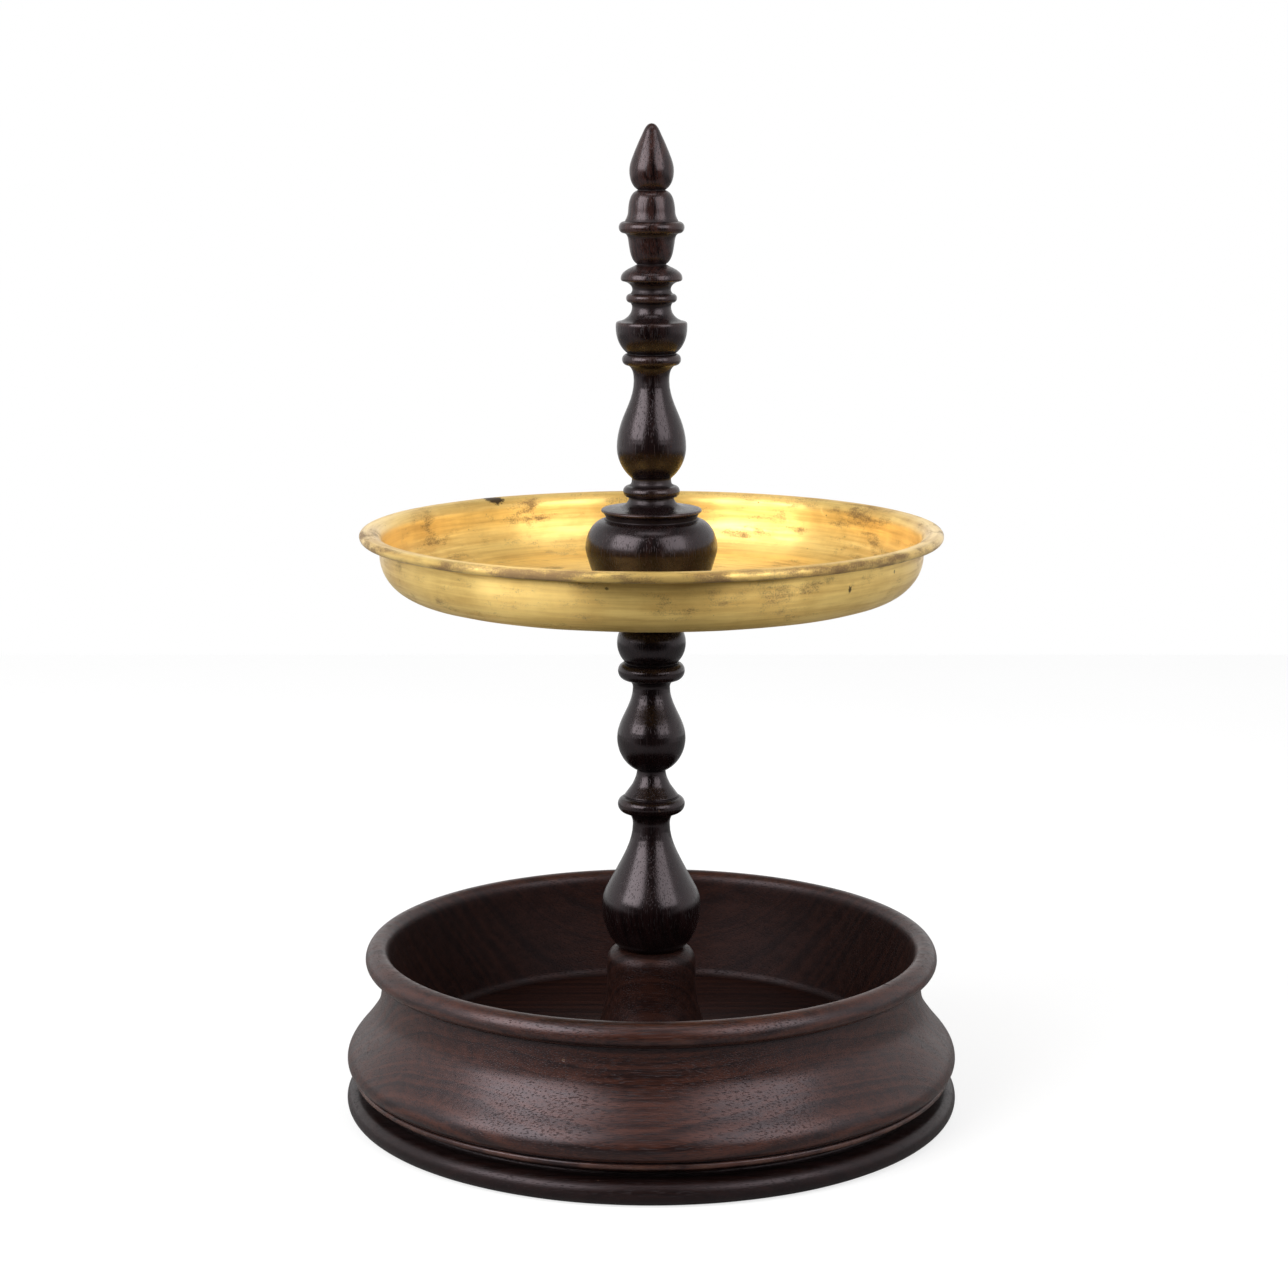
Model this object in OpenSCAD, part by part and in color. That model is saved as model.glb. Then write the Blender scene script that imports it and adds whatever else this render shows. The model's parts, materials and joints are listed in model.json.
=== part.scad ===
// Two-tier turned stand: a dark hardwood bowl on a foot ring, a baluster
// pillar rising from the bowl's boss, and a spun brass dish clamped between
// the lower pillar and the upper pillar, which screws down on a steel stud.
// The origin is the centre of the face it stands on, +Z up, in millimetres.

/* [Bowl] */
// Diameter over the belly of the bowl
belly_d = 301.2; // [251:0.1:362]
// How far the waist lies inside the belly
waist_in = 16.8; // [10:0.1:22]
// How far the rim lies inside the belly
rim_in = 9.7; // [4:0.1:16]
// Thickness of the rolled rim
rim_t = 11.6; // [8:0.1:14]
// Height of the rolled rim above the crease under it
roll_h = 13.2; // [11:0.1:15]
// Height of the rim's crest above the table
bowl_h = 82.2; // [78:0.1:99]
// Height of the inside floor above the table
floor_z = 28; // [27:0.1:34]
// Diameter of the boss that the pillar stands on
boss_d = 44; // [40:0.1:53]
// Height of the boss's top above the table
boss_z = 78.5; // [70:0.1:96]

/* [Foot ring] */
// How far the foot ring stands out past the belly
foot_out = 0.4; // [0:0.1:4]
// Height of its rounded nose
foot_h = 11.4; // [9:0.1:12]
// Inside diameter of the ring
foot_bore = 224; // [185:0.1:226]
// Height of the glued joint between the ring and the bowl
joint_z = 13; // [12.5:0.1:15]
// Depth of the dark cove between the ring and the belly
cove_in = 12; // [8:0.1:14]
// Thickness of the felt disc under the bowl
base_felt_t = 1.5; // [1:0.1:3]

/* [Lower pillar] */
// Height from the boss to the dish's seat
lower_h = 177; // [147:0.5:213]
// Diameter over the pear at its foot
pear_d = 48.4; // [42:0.1:58]
// Diameter over the vase, half way up
vase_d = 33.4; // [30:0.1:40]
// Diameter of the seat under the dish
seat_d = 50; // [42:0.1:60]

/* [Upper pillar] */
// Height from the dish to the finial's tip
upper_h = 221; // [184:0.5:266]
// Diameter over the bulb that clamps the dish
bulb_d = 63.8; // [57:0.1:76]
// Diameter of the cap disc on the bulb
cap_d = 48.6; // [44:0.1:58]
// Diameter over the cup, half way up
cup_d = 34.2; // [30:0.1:41]
// Diameter over the finial
finial_d = 21.1; // [18:0.1:25]

/* [Brass dish] */
// Diameter over the rolled rim
dish_d = 281; // [235:0.1:338]
// Height from its underside to the top of its rim
dish_h = 31; // [26:0.1:37.2]
// Thickness of the brass sheet
sheet_t = 1.2; // [1:0.1:1.6]
// Outside radius between the floor and the wall
corner_r = 20; // [14:0.1:20.4]
// Width of the lip that turns out from the wall to the rim's edge
lip_w = 9.5; // [8.8:0.1:12]
// Radius under the lip, where the wall turns out
lip_r = 4.5; // [3:0.1:5]
// Outside diameter of the rolled edge
bead_d = 4.8; // [4.2:0.1:5.8]
// Gap left where the rolled edge closes on itself
bead_gap = 0.5; // [0.2:0.1:0.8]

/* [Fixings] */
// Diameter of the stud and of the base bolt
screw_d = 8; // [6.7:0.1:9.6]
// Radial clearance of a screw in its threaded insert
screw_fit = 0.05; // [0.02:0.01:0.1]
// Radial clearance of a screw in a plain hole
hole_fit = 0.3; // [0.2:0.05:0.6]
// Rise of the thread in one turn
thread_pitch = 1.25; // [1:0.05:1.5]
// Turns that the stud takes to leave its insert
stud_turns = 10; // [8:1:11]
// Wall of a threaded insert
insert_wall = 2; // [1.5:0.1:2.4]
// Length of a threaded insert
insert_l = 16; // [14:0.5:19.2]
// Glue gap round a threaded insert
glue_gap = 0.05; // [0.02:0.01:0.1]
// Height of the base bolt's head
head_h = 8; // [6.7:0.1:9]
// Diameter of the base bolt's head
head_d = 13; // [12:0.1:15.6]
// Width across the flats of its hexagon socket
socket_af = 6; // [5:0.1:7]
// Thickness of the base washer
washer_t = 2; // [1.5:0.1:3]
// Diameter of the base washer
washer_d = 24; // [20:0.1:26]
// Thickness of the felt rings that the dish is clamped between
felt_t = 1; // [0.8:0.1:1.5]
// Diameter of the felt rings
felt_d = 45; // [36:0.1:48]

/* [Hidden] */
round_fn = 180;

// Bowl and foot ring
bowl_r = belly_d / 2;
foot_r = bowl_r + foot_out;
nose_r = foot_h / 2;
cove_r = foot_r - cove_in;
waist_r = bowl_r - waist_in;
rim_r = bowl_r - rim_in;
mouth_r = rim_r - rim_t;
wall_foot_r = mouth_r - 8;
boss_r = boss_d / 2;
pocket_d = washer_d + 4;
pocket_z = joint_z + head_h + washer_t + 3;

// Heights of the stack
seat_z = boss_z + lower_h;
dish_z = seat_z + felt_t;
dish_floor_z = dish_z + sheet_t;
upper_z = dish_floor_z + felt_t;

// Dish
wall_r = dish_d / 2 - lip_w;
dish_floor_r = wall_r - corner_r;
lip_z = dish_h - lip_r - sheet_t;
bead_r = bead_d / 2;
bead_x = dish_d / 2 - bead_r;
bead_z = dish_h - bead_r;

// Fixings
screw_r = screw_d / 2;
insert_r = screw_r + screw_fit + insert_wall;
socket_h = head_h / 2;
bolt_end_gap = 0.5;
stud_reach = stud_turns * thread_pitch;
stud_bottom_z = seat_z - stud_reach;
stud_top_z = upper_z + insert_l;
tip_room = 2;

// A turned outline is a list of stations, [radius, height, direction]. The
// direction is the way that the outline runs through the station, in degrees:
// 0 is outwards, 90 is up, 180 is inwards. A fourth value is the direction in
// which it leaves, where that differs, and "line" leaves it straight.
function place(s) = [s[0], s[1]];
function leaving(s) = s[3] == "line" ? undef : (is_undef(s[3]) ? s[2] : s[3]);
function turned_by(a, b) = abs((b - a + 540) % 360 - 180);
function along(a, reach) = [cos(a) * reach, sin(a) * reach];
function arc_reach(chord, turn) = turn < 1 ? chord / 3 : chord * 2 / 3 * tan(turn / 4) / sin(turn / 2);
function curve_steps(chord, turn) = max(2, min(14, ceil(sqrt(chord * turn / 12))));

function between(a, b, t) =
    let (turn = turned_by(leaving(a), b[2]))
    let (reach = arc_reach(norm(place(b) - place(a)), turn))
    let (p = place(a) + along(leaving(a), reach))
    let (q = place(b) - along(b[2], reach))
    pow(1 - t, 3) * place(a) + 3 * t * pow(1 - t, 2) * p + 3 * t * t * (1 - t) * q + pow(t, 3) * place(b);

function stretch(a, b) =
    is_undef(leaving(a)) || is_undef(b[2])
        ? [place(b)]
        : let (n = curve_steps(norm(place(b) - place(a)), turned_by(leaving(a), b[2])))
          [for (i = [1:n]) between(a, b, i / n)];

function outline(stations) = concat(
    [place(stations[0])],
    [for (i = [1:len(stations) - 1]) each stretch(stations[i - 1], stations[i])]
);

// The same stations with their heights drawn out to a given length
function drawn_out(stations, length) =
    let (k = length / stations[len(stations) - 1][1])
    [for (s = stations) [s[0], s[1] * k, s[2], s[3]]];

module turned(stations) {
    rotate_extrude($fn = round_fn) polygon(outline(stations));
}

module ring(outer_r, inner_r, z, height) {
    translate([0, 0, z]) rotate_extrude($fn = round_fn)
        translate([inner_r, 0]) square([outer_r - inner_r, height]);
}

module bore(radius, z, height) {
    translate([0, 0, z]) cylinder(r = radius, h = height, $fn = 96);
}

// Outline of the bowl: up the outside, over the rim, down the inside and
// across the floor, then up the boss to the face that carries the pillar.
bowl_stations = [
    [pocket_d / 2, joint_z],
    [cove_r, joint_z, undef, 90],
    [bowl_r - 4.6, joint_z + 3.6, 0],
    [bowl_r - 4.6, joint_z + 6.8, 180, "line"],
    [bowl_r - 4.6, joint_z + 7.1, undef, 10],
    [bowl_r, joint_z + 12.8, 90],
    [(bowl_r + waist_r) / 2 + 0.6, joint_z + 26.0, 128],
    [waist_r, bowl_h - 26.6, 98],
    [waist_r - 1.4, bowl_h - roll_h, 93, 26],
    [rim_r, bowl_h - 7.0, 90],
    [rim_r - 6.7, bowl_h, 180],
    [mouth_r, bowl_h - 6.2, 264],
    [wall_foot_r, floor_z + 4, 258],
    [wall_foot_r - 3.6, floor_z, 180, "line"],
    [boss_r + 18, floor_z, undef, 180],
    [boss_r + 3.2, floor_z + 13.5, 108],
    [boss_r, boss_z - 17, 91],
    [boss_r - 0.2, boss_z - 6.6, 92],
    [boss_r - 5.8, boss_z, 180, "line"],
    [screw_r + hole_fit, boss_z],
    [screw_r + hole_fit, pocket_z],
    [pocket_d / 2, pocket_z]
];

module base_bowl() {
    color("#4a332b") turned(bowl_stations);
}

foot_stations = [
    [foot_bore / 2, 0],
    [foot_r - nose_r, 0, undef, 0],
    [foot_r - nose_r, foot_h, 180, "line"],
    [cove_r + 2, foot_h, undef, 180],
    [cove_r, joint_z, 90, "line"],
    [foot_bore / 2, joint_z]
];

module foot_ring() {
    color("#3f2b25") turned(foot_stations);
}

module base_felt() {
    color("#2c3a2c") bore(foot_bore / 2 - 1, joint_z - base_felt_t, base_felt_t);
}

module base_washer() {
    color("silver") ring(washer_d / 2, screw_r + hole_fit, pocket_z - washer_t, washer_t);
}

module base_bolt() {
    head_z = pocket_z - washer_t - head_h;
    color("gray") difference() {
        union() {
            bore(head_d / 2, head_z, head_h);
            bore(screw_r, head_z + head_h, boss_z + insert_l - bolt_end_gap - head_z - head_h);
        }
        translate([0, 0, head_z - 1])
            cylinder(d = socket_af / cos(30), h = socket_h + 1, $fn = 6);
    }
}

module threaded_insert(z) {
    color("goldenrod") ring(insert_r, screw_r + screw_fit, z, insert_l);
}

module lower_base_insert() {
    threaded_insert(boss_z);
}

module lower_top_insert() {
    threaded_insert(seat_z - insert_l);
}

module upper_insert() {
    threaded_insert(upper_z);
}

// Outline of the lower pillar, from the boss up: the pear, a ring, the vase,
// a ring, the ball, and the seat that carries the dish.
lower_stations = [
    [0, 0],
    [boss_r - 6.7, 0, undef, 36],
    [pear_d / 2, 22.5, 90],
    [18.4, 37.2, 117],
    [9.1, 62.6, 90],
    [12.2, 68.4, 20, 0],
    [12.8, 76.2, 180, "line"],
    [13.2, 77.0, undef, 120],
    [9.4, 82.2, 117],
    [7.0, 89.6, 90, 25],
    [vase_d / 2, 105.8, 90],
    [13.6, 116.8, 116],
    [9.05, 131.0, 90],
    [11.6, 134.5, 20, 0],
    [12.3, 143.0, 180, 40],
    [16.7, 153.0, 90],
    [11.6, 162.6, 150, 80],
    [11.0, 165.6, 90],
    [seat_d / 2 - 1, 172.0, 20],
    [seat_d / 2, 174.5, 90],
    [seat_d / 2 - 1, 177.0, 180, "line"],
    [0, 177.0]
];

module lower_pillar() {
    color("#2f2422") difference() {
        translate([0, 0, boss_z]) turned(drawn_out(lower_stations, lower_h));
        bore(insert_r + glue_gap, boss_z - 1, insert_l + 2);
        bore(insert_r + glue_gap, seat_z - insert_l, insert_l + 1);
        bore(screw_r + hole_fit, seat_z - insert_l - tip_room, insert_l);
    }
}

module lower_felt() {
    color("#3c2f2a") ring(felt_d / 2, screw_r + hole_fit, seat_z, felt_t);
}

module upper_felt() {
    color("#3c2f2a") ring(felt_d / 2, screw_r + hole_fit, dish_floor_z, felt_t);
}

// Outline of the dish: its outside from the hole to the rolled edge, then its
// inside back to the hole.
dish_stations = [
    [screw_r + hole_fit, 0],
    [dish_floor_r, 0, undef, 0],
    [wall_r, corner_r, 90, "line"],
    [wall_r, lip_z, undef, 90],
    [wall_r + lip_r, dish_h - sheet_t, 0, "line"],
    [bead_x, dish_h - sheet_t],
    [bead_x, dish_h],
    [wall_r + lip_r, dish_h, undef, 180],
    [wall_r - sheet_t, lip_z, 270, "line"],
    [wall_r - sheet_t, corner_r, undef, 270],
    [dish_floor_r, sheet_t, 180, "line"],
    [screw_r + hole_fit, sheet_t]
];

module torus(radius) {
    translate([0, 0, bead_z]) rotate_extrude($fn = round_fn)
        translate([bead_x, 0]) circle(r = radius, $fn = 48);
}

module brass_dish() {
    color("#c79d3f") translate([0, 0, dish_z]) union() {
        turned(dish_stations);
        difference() {
            torus(bead_r);
            torus(bead_r - sheet_t);
            ring(bead_x - bead_r / 4, bead_x - bead_d, bead_z - bead_gap, bead_gap);
        }
    }
}

module rim_wire() {
    color("dimgray") translate([0, 0, dish_z]) torus(bead_r - sheet_t - screw_fit);
}

module joint_stud() {
    color("gray") bore(screw_r, stud_bottom_z, stud_top_z - stud_bottom_z);
}

// Outline of the upper pillar, from the dish up: the bulb and its cap, a ring,
// the long bulb, the cup, the mushroom, the bell with its flange, the finial.
upper_stations = [
    [0, 0],
    [24.5, 0, undef, 52],
    [bulb_d / 2 - 0.5, 16.4, 74, 84],
    [bulb_d / 2, 18.9, 90],
    [21.7, 33.3, 176, 70],
    [cap_d / 2 - 0.4, 36.6, 30],
    [cap_d / 2, 37.4, 90],
    [cap_d / 2 - 0.8, 38.2, 165],
    [11.0, 42.6, 108],
    [10.9, 43.9, 90, 0],
    [10.9, 49.4, 180, 150],
    [9.5, 51.4, 92],
    [9.6, 53.2, 40],
    [16.65, 68.1, 90],
    [13.2, 83.4, 113],
    [8.55, 99.5, 90],
    [11.3, 107.2, 30, 0],
    [11.3, 112.8, 180, 35],
    [cup_d / 2, 125.2, 90],
    [cup_d / 2 - 0.9, 128.0, 172],
    [9.3, 134.9, 92],
    [10.0, 136.9, 60, 0],
    [10.0, 141.2, 180, 120],
    [9.2, 143.1, 90],
    [13.7, 147.1, 10],
    [14.75, 148.3, 90],
    [6.8, 155.1, 150, 30],
    [10.3, 161.3, 78],
    [11.1, 166.3, 82],
    [12.8, 169.6, 20, 0],
    [12.8, 175.2, 180, 120],
    [11.2, 179.6, 94],
    [6.4, 189.9, 165, 30],
    [finial_d / 2, 198.9, 90],
    [8.0, 208.2, 111],
    [4.5, 216.0, 115],
    [0, 221.0, 180]
];

module upper_pillar() {
    color("#2f2422") difference() {
        translate([0, 0, upper_z]) turned(drawn_out(upper_stations, upper_h));
        bore(insert_r + glue_gap, upper_z - 1, insert_l + 1.2);
    }
}

base_bowl();
foot_ring();
base_felt();
base_bolt();
base_washer();
lower_base_insert();
lower_pillar();
lower_top_insert();
lower_felt();
brass_dish();
rim_wire();
upper_felt();
upper_insert();
joint_stud();
upper_pillar();
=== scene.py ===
"""Looks for a two-tier turned stand: a dark hardwood bowl, a dark turned baluster
pillar in two lengths, and a spun brass dish clamped between them.

Every piece was made on a lathe or a spinning chuck, so every piece here is an
outline carried round the Z axis. The outlines of the wood and the brass are
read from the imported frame, their corners are eased as a turner eases them,
and one Geometry Nodes tree turns them, cuts their threads and leaves them a
little uneven. Lengths are in metres.
"""
import json
import math

import bpy
import numpy as np
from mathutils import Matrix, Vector


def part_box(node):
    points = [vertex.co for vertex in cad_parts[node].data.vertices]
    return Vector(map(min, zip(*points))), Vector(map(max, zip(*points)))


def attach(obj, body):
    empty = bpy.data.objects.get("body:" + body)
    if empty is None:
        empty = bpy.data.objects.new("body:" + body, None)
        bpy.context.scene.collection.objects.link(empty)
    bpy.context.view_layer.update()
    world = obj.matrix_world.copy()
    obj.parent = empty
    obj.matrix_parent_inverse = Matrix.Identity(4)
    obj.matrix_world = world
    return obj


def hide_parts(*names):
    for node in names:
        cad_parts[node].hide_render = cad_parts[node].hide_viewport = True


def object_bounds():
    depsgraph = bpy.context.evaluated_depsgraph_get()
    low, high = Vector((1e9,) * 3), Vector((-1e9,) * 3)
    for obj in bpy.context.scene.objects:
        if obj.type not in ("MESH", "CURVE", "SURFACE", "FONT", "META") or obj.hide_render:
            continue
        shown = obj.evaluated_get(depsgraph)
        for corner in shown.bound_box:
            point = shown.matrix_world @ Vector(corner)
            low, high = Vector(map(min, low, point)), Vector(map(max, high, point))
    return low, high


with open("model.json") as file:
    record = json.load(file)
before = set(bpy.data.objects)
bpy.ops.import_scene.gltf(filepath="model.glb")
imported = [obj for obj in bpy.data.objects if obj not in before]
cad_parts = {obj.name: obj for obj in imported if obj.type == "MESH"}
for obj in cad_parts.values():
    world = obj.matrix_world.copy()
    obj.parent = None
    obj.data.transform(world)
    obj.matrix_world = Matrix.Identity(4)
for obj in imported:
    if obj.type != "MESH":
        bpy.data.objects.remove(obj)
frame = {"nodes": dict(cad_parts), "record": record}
cad_low, cad_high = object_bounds()
scene = bpy.context.scene
record = frame["record"]
BODY_OF = {node: body for body, nodes in record["behaviour"]["bodies"].items() for node in nodes}
MM = 0.001


# ---------------------------------------------------------------- camera

CAMERA_PLACE = (-0.0036, -1.4001, 0.4880)
CAMERA_PITCH = math.radians(10.42)
CAMERA_LENS = 81.9


def set_camera():
    """A long lens from the front, a little above the dish."""
    lens = bpy.data.cameras.new("front_camera")
    lens.sensor_width = 36.0
    lens.lens = CAMERA_LENS
    lens.clip_start = 0.05
    lens.clip_end = 40.0
    camera = bpy.data.objects.new("front_camera", lens)
    camera.location = CAMERA_PLACE
    camera.rotation_euler = (math.pi / 2 - CAMERA_PITCH, 0.0, 0.0)
    scene.collection.objects.link(camera)
    scene.camera = camera


set_camera()


# ------------------------------------------------- outlines read from the frame

SAME_POINT = 0.01 * MM
CORNER_TURN = math.radians(20)
STRAIGHT_RATIO = 3.0
STEP_ANGLE = math.radians(6)
CREST_REACH = 1.2 * MM
FULL_BEND = 1 / (1.6 * MM)


def grouped_points(flat):
    """Numbers the different (radius, height) points among the rows of flat."""
    near, row_of = np.unique(np.round(flat / (SAME_POINT / 20)), axis=0, return_inverse=True)
    row_of = row_of.reshape(-1)
    near = near * (SAME_POINT / 20)
    group = -np.ones(len(near), int)
    places = []
    for i, point in enumerate(near):
        gaps = [np.hypot(*(point - p)) for p in places]
        if gaps and min(gaps) < SAME_POINT:
            group[i] = int(np.argmin(gaps))
        else:
            group[i] = len(places)
            places.append(point)
    return np.array(places), group[row_of]


def frame_outline(node):
    """The outline that a turned node of the frame was made from, in order.

    The rings of a turned solid lie at its outline's points, so the points are
    chained as the mesh's edges join the rings. An outline that meets the axis
    is open and starts and ends on it; any other one is closed.
    """
    mesh = frame["nodes"][node].data
    co = np.empty(len(mesh.vertices) * 3)
    mesh.vertices.foreach_get("co", co)
    co = co.reshape(-1, 3)
    places, group = grouped_points(np.column_stack([np.hypot(co[:, 0], co[:, 1]), co[:, 2]]))
    ends = np.empty(len(mesh.edges) * 2, int)
    mesh.edges.foreach_get("vertices", ends)
    joined = {}
    for a, b in group[ends.reshape(-1, 2)]:
        if a != b:
            joined.setdefault(int(a), set()).add(int(b))
            joined.setdefault(int(b), set()).add(int(a))
    tips = [i for i, others in joined.items() if len(others) == 1]
    at = tips[0] if tips else min(joined)
    chain = [at]
    while True:
        onward = [i for i in joined[at] if i not in chain]
        if not onward:
            break
        at = min(onward, key=lambda i: np.hypot(*(places[i] - places[at])))
        chain.append(at)
    points = [tuple(places[i]) for i in chain]
    if tips:
        for end in (0, -1):
            if points[end][0] > SAME_POINT:
                points.insert(0 if end == 0 else len(points), (0.0, points[end][1]))
    else:
        points.append(points[0])
    return points


def unit(v):
    return v / max(np.hypot(*v), 1e-12)


def turn_between(a, b):
    """Signed angle from direction a to direction b, anticlockwise positive."""
    return math.atan2(a[0] * b[1] - a[1] * b[0], a[0] * b[0] + a[1] * b[1])


def stations(points, arris):
    """The outline as (place, direction) pairs, with sharp corners cut back by an arris."""
    closed = np.hypot(*(points[0] - points[-1])) < SAME_POINT
    count = len(points) - 1 if closed else len(points)
    found = []
    for i in range(count):
        here = points[i]
        if not closed and i in (0, count - 1):
            other = points[1] if i == 0 else points[-2]
            flat = np.array([1.0 if i == 0 else -1.0, 0.0])
            inward = unit(other - here) * (1 if i == 0 else -1)
            found.append((here, flat if here[0] < SAME_POINT else inward))
            continue
        before, after = here - points[i - 1 if i else -2], points[i + 1] - here
        a, b = unit(before), unit(after)
        reach_in, reach_out = np.hypot(*before), np.hypot(*after)
        if abs(turn_between(a, b)) > CORNER_TURN:
            cut = min(arris, 0.45 * reach_in, 0.45 * reach_out)
            found += [(here - a * cut, a), (here + b * cut, b)]
        elif reach_in > STRAIGHT_RATIO * reach_out:
            found.append((here, a))
        elif reach_out > STRAIGHT_RATIO * reach_in:
            found.append((here, b))
        else:
            found.append((here, unit(a * reach_out + b * reach_in)))
    return found + [found[0]] if closed else found


def eased(points, arris, spacing):
    """A smooth, evenly stepped outline through the points, with its corners eased."""
    points = np.array(points)
    area = np.sum(points[:-1, 0] * points[1:, 1] - points[1:, 0] * points[:-1, 1])
    if area < 0:
        points = points[::-1]
    path = stations(points, arris)
    out = [path[0][0]]
    for (p, a), (q, b) in zip(path, path[1:]):
        chord = np.hypot(*(q - p))
        if chord < SAME_POINT / 10:
            continue
        turn = abs(turn_between(a, b))
        arm = chord / 3 / max(math.cos(turn / 4) ** 2, 0.5)
        count = max(1, math.ceil(turn / STEP_ANGLE), math.ceil(chord / spacing))
        for i in range(1, count + 1):
            t = i / count
            out.append((1 - t) ** 3 * p + 3 * t * (1 - t) ** 2 * (p + a * arm)
                       + 3 * t * t * (1 - t) * (q - b * arm) + t ** 3 * q)
    return [tuple(p) for p in out]


def crests(points):
    """How sharply the outline bulges at each point: 1 on an arris, -1 in a quirk."""
    p = np.array(points)
    steps = np.diff(p, axis=0)
    length = np.hypot(steps[:, 0], steps[:, 1])
    run = np.concatenate([[0], np.cumsum(length)])
    bend = np.zeros(len(p))
    for i in range(1, len(p) - 1):
        bend[i] = turn_between(steps[i - 1], steps[i])
    weight = np.exp(-((run[:, None] - run[None, :]) / CREST_REACH) ** 2)
    share = np.gradient(run)
    per_metre = (weight @ bend) / np.maximum(weight @ share, 1e-9)
    return run, np.tanh(per_metre / FULL_BEND)


# ------------------------------------------------------------ node benches

class Bench:
    """Puts nodes on one tree and wires them."""

    def __init__(self, tree):
        self.tree = tree

    def put(self, kind, inputs=None, **settings):
        node = self.tree.nodes.new(kind)
        for name, value in settings.items():
            setattr(node, name, value)
        for key, value in (inputs or {}).items():
            self.feed(node.inputs[key], value)
        return node

    def feed(self, socket, value):
        if isinstance(value, bpy.types.NodeSocket):
            self.tree.links.new(value, socket)
        else:
            socket.default_value = value

    def math(self, operation, a, b=0.0, clamp=False):
        node = self.put("ShaderNodeMath", {0: a, 1: b}, operation=operation, use_clamp=clamp)
        return node.outputs[0]

    def times(self, a, b):
        return self.math("MULTIPLY", a, b)

    def plus(self, a, b, clamp=False):
        return self.math("ADD", a, b, clamp)

    def minus(self, a, b):
        return self.math("SUBTRACT", a, b)

    def radius(self, x, y):
        return self.math("SQRT", self.plus(self.times(x, x), self.times(y, y)))

    def vector(self, operation, a, b=(0.0, 0.0, 0.0)):
        return self.put("ShaderNodeVectorMath", {0: a, 1: b}, operation=operation).outputs[0]

    def split(self, vector):
        return self.put("ShaderNodeSeparateXYZ", {0: vector}).outputs

    def join(self, x, y, z):
        return self.put("ShaderNodeCombineXYZ", {0: x, 1: y, 2: z}).outputs[0]

    def ramp(self, value, low, high, to_low=0.0, to_high=1.0):
        """value's place between low and high, eased and held at the ends."""
        names = ("Value", "From Min", "From Max", "To Min", "To Max")
        inputs = dict(zip(names, (value, low, high, to_low, to_high)))
        return self.put("ShaderNodeMapRange", inputs, interpolation_type="SMOOTHSTEP").outputs[0]

    def noise(self, vector, scale=1.0, detail=2.0, rough=0.5):
        inputs = {"Vector": vector, "Scale": scale, "Detail": detail, "Roughness": rough}
        return self.put("ShaderNodeTexNoise", inputs).outputs

    def wander(self, vector, scale=1.0, detail=2.0):
        """A random shift at each place, up to about half a unit either way on each axis."""
        return self.vector("SUBTRACT", self.noise(vector, scale, detail)["Color"], (0.5, 0.5, 0.5))

    def stretched(self, vector, scales, detail=2.0, rough=0.5):
        """Noise with its own scale along each axis."""
        return self.noise(self.vector("MULTIPLY", vector, scales), 1.0, detail, rough)[0]

    def mix(self, share, a, b):
        node = self.put("ShaderNodeMix", data_type="RGBA", clamp_factor=True)
        for index, value in ((0, share), (6, a), (7, b)):
            self.feed(node.inputs[index], value)
        return node.outputs[2]


def new_group(kind, name, inputs, outputs):
    """An empty node group with its sockets, its bench, and its two ends."""
    tree = bpy.data.node_groups.new(name, kind)
    for way, rows in (("INPUT", inputs), ("OUTPUT", outputs)):
        for label, socket, *value in rows:
            item = tree.interface.new_socket(name=label, in_out=way, socket_type="NodeSocket" + socket)
            if value:
                item.default_value = value[0]
    bench = Bench(tree)
    return bench, bench.put("NodeGroupInput").outputs, bench.put("NodeGroupOutput").inputs


# ------------------------------------------------------------ the lathe

TURNED_INPUTS = (
    ("Outline", "Geometry"),
    ("Steps", "Int", 192),
    ("Pitch", "Float", 1.25 * MM),
    ("Thread depth", "Float", 0.0),
    ("Unevenness", "Float", 0.0),
    ("Unevenness size", "Float", 0.04),
    ("Material", "Material"),
)
ROW_VALUES = ("run", "crest", "thread", "flats")
SEAM_GAP = 0.002 * MM


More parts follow.
